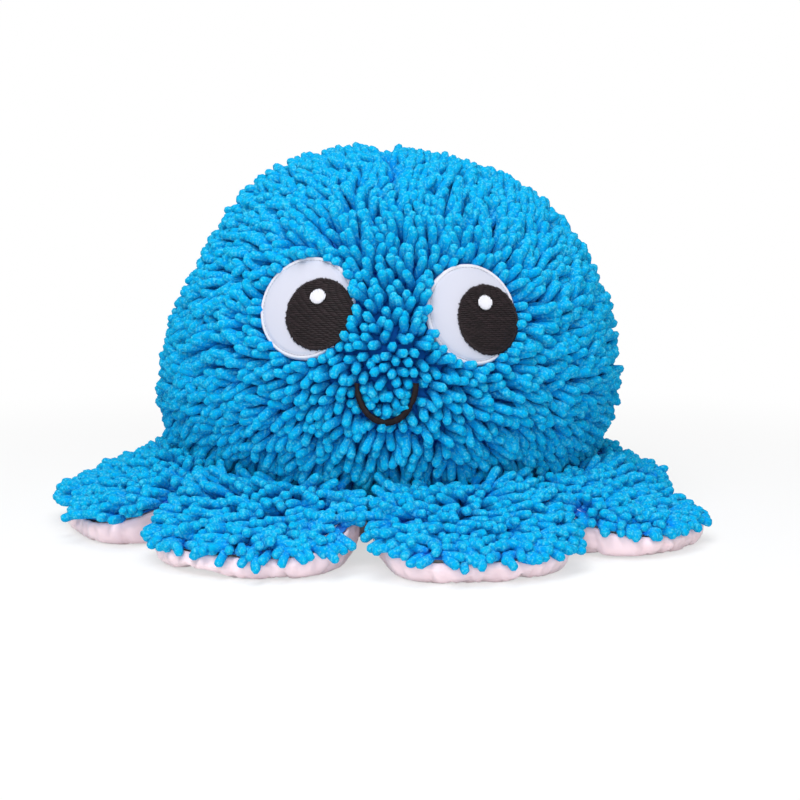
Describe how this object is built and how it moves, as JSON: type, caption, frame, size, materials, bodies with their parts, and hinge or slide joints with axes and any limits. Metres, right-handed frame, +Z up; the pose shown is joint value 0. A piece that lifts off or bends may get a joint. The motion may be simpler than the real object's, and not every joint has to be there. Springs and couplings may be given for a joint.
{
  "type": "plush octopus",
  "caption": "Stuffed octopus with a domed chenille body, a smiling embroidered face and a ring of flat arms with smooth pink undersides.",
  "frame": {"origin": "middle of the underside, on the floor", "axes": "+Z up, the face looks towards -Y, +X to the right of someone who looks at the face"},
  "size_m": [0.3511, 0.3661, 0.208],
  "materials": {
    "chenille_cover": "thick chenille pile, matt",
    "pink_plush": "short brushed pile, matt",
    "white_felt": "smooth felted cloth",
    "black_thread": "embroidery thread, slight sheen",
    "white_thread": "embroidery thread, slight sheen",
    "pink_thread": "sewing thread",
    "fibre_filling": "loose polyester fibre",
    "embroidery_backing": "stiff non-woven backing"
  },
  "bodies": {
    "body": {"front_gore": "chenille_cover", "right_gore": "chenille_cover", "back_gore": "chenille_cover", "left_gore": "chenille_cover", "base_panel": "pink_plush", "closing_stitches": "pink_thread", "body_filling": "fibre_filling", "left_eye_backing": "embroidery_backing", "right_eye_backing": "embroidery_backing", "mouth_backing": "embroidery_backing", "left_eye_white": "white_felt", "right_eye_white": "white_felt", "left_pupil": "black_thread", "right_pupil": "black_thread", "left_glint": "white_thread", "right_glint": "white_thread", "mouth": "black_thread"},
    "arm_1": {"arm_1_top": "chenille_cover", "arm_1_underside": "pink_plush", "arm_1_filling": "fibre_filling"},
    "arm_2": {"arm_2_top": "chenille_cover", "arm_2_underside": "pink_plush", "arm_2_filling": "fibre_filling"},
    "arm_3": {"arm_3_top": "chenille_cover", "arm_3_underside": "pink_plush", "arm_3_filling": "fibre_filling"},
    "arm_4": {"arm_4_top": "chenille_cover", "arm_4_underside": "pink_plush", "arm_4_filling": "fibre_filling"},
    "arm_5": {"arm_5_top": "chenille_cover", "arm_5_underside": "pink_plush", "arm_5_filling": "fibre_filling"},
    "arm_6": {"arm_6_top": "chenille_cover", "arm_6_underside": "pink_plush", "arm_6_filling": "fibre_filling"},
    "arm_7": {"arm_7_top": "chenille_cover", "arm_7_underside": "pink_plush", "arm_7_filling": "fibre_filling"},
    "arm_8": {"arm_8_top": "chenille_cover", "arm_8_underside": "pink_plush", "arm_8_filling": "fibre_filling"}
  },
  "joints": [
    {"name": "arm_1_lift", "type": "hinge", "parent": "body", "child": "arm_1", "pos_m": [0.0972, -0.06312, 0.033], "axis": [-0.5446, -0.8387, 0], "range_deg": [-25, 40]},
    {"name": "arm_2_lift", "type": "hinge", "parent": "body", "child": "arm_2", "pos_m": [0.10891, 0.03964, 0.033], "axis": [0.342, -0.9397, 0], "range_deg": [-25, 40]},
    {"name": "arm_3_lift", "type": "hinge", "parent": "body", "child": "arm_3", "pos_m": [0.05081, 0.10417, 0.033], "axis": [0.8988, -0.4384, 0], "range_deg": [-25, 40]},
    {"name": "arm_4_lift", "type": "hinge", "parent": "body", "child": "arm_4", "pos_m": [-0.03581, 0.11022, 0.033], "axis": [0.9511, 0.309, 0], "range_deg": [-25, 40]},
    {"name": "arm_5_lift", "type": "hinge", "parent": "body", "child": "arm_5", "pos_m": [-0.1028, 0.05351, 0.033], "axis": [0.4617, 0.887, 0], "range_deg": [-25, 40]},
    {"name": "arm_6_lift", "type": "hinge", "parent": "body", "child": "arm_6", "pos_m": [-0.11053, -0.03485, 0.033], "axis": [-0.3007, 0.9537, 0], "range_deg": [-25, 40]},
    {"name": "arm_7_lift", "type": "hinge", "parent": "body", "child": "arm_7", "pos_m": [-0.05351, -0.1028, 0.033], "axis": [-0.887, 0.4617, 0], "range_deg": [-25, 40]},
    {"name": "arm_8_lift", "type": "hinge", "parent": "body", "child": "arm_8", "pos_m": [0.03195, -0.11141, 0.033], "axis": [-0.9613, -0.2756, 0], "range_deg": [-25, 40]}
  ]
}
